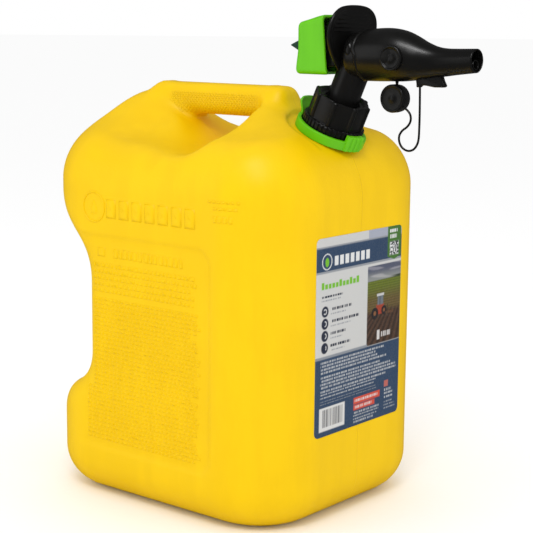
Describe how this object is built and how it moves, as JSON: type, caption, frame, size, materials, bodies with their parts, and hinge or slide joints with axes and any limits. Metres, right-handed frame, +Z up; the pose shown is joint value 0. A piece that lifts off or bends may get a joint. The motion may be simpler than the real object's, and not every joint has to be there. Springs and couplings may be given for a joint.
{
  "type": "safety gas can",
  "caption": "Blow-moulded fuel can with a top handle, a turn-lock spout collar, a thumb-trigger pouring nozzle and a tethered dust cap.",
  "frame": {"origin": "middle of the flat base the can stands on", "axes": "+X to the front, where the label and the spout are; +Z up; Y across the can, which is symmetric about Y = 0"},
  "size_m": [0.42, 0.259, 0.475],
  "materials": {
    "yellow_polyethylene": "blow-moulded polyethylene, softly glossy",
    "green_plastic": "satin moulding",
    "dark_green_plastic": "satin moulding",
    "black_plastic": "satin moulding",
    "black_rubber": "matt seal rubber",
    "natural_plastic": "uncoloured acetal",
    "steel": "drawn wire and bar",
    "printed_film": "printed label film"
  },
  "bodies": {
    "can": {"can_body": "yellow_polyethylene", "front_label": "printed_film", "lock_ring": "green_plastic", "flame_screen": "steel", "neck_gasket": "black_rubber"},
    "tab": {"release_tab": "green_plastic"},
    "spout": {"elbow_body": "black_plastic", "air_tube": "natural_plastic", "nozzle_barrel": "black_plastic", "badge_left": "black_plastic", "badge_right": "black_plastic", "vent_tube": "black_plastic", "finger_flange": "black_plastic", "valve_seat": "natural_plastic", "latch_pin": "steel", "trigger_spring": "steel", "cap_tether": "black_plastic"},
    "collar": {"spout_collar": "black_plastic"},
    "trigger": {"trigger": "green_plastic", "valve_rod": "steel", "valve_poppet": "natural_plastic", "poppet_seal": "black_rubber"},
    "latch": {"safety_latch": "dark_green_plastic"},
    "cap": {"dust_cap": "black_plastic", "cap_liner": "black_rubber"}
  },
  "joints": [
    {"name": "spout_lift", "type": "slide", "parent": "can", "child": "spout", "axis": [0.4147, 0, 0.91], "range_m": [0, 0.08]},
    {"name": "collar_turn", "type": "hinge", "parent": "spout", "child": "collar", "pos_m": [0.1125, 0, 0.3565], "axis": [0.4147, 0, 0.91], "range_deg": [0, 270]},
    {"name": "tab_pull", "type": "hinge", "parent": "can", "child": "tab", "pos_m": [0.0829, 0, 0.3706], "axis": [0, -1, 0], "range_deg": [0, 6], "stiffness_Nm_per_rad": 0.6},
    {"name": "trigger_push", "type": "slide", "parent": "spout", "child": "trigger", "axis": [1, 0, 0], "range_m": [0, 0.0065], "stiffness_N_per_m": 900, "springref_m": -0.004, "deforming": ["trigger_spring"]},
    {"name": "latch_lift", "type": "hinge", "parent": "spout", "child": "latch", "pos_m": [0.1085, 0, 0.44], "axis": [0, 1, 0], "range_deg": [0, 6], "stiffness_Nm_per_rad": 0.2, "springref_deg": -2.86},
    {"name": "cap_pull", "type": "slide", "parent": "spout", "child": "cap", "axis": [0, 0, -1], "range_m": [0, 0.01], "deforming": ["cap_tether"]}
  ]
}
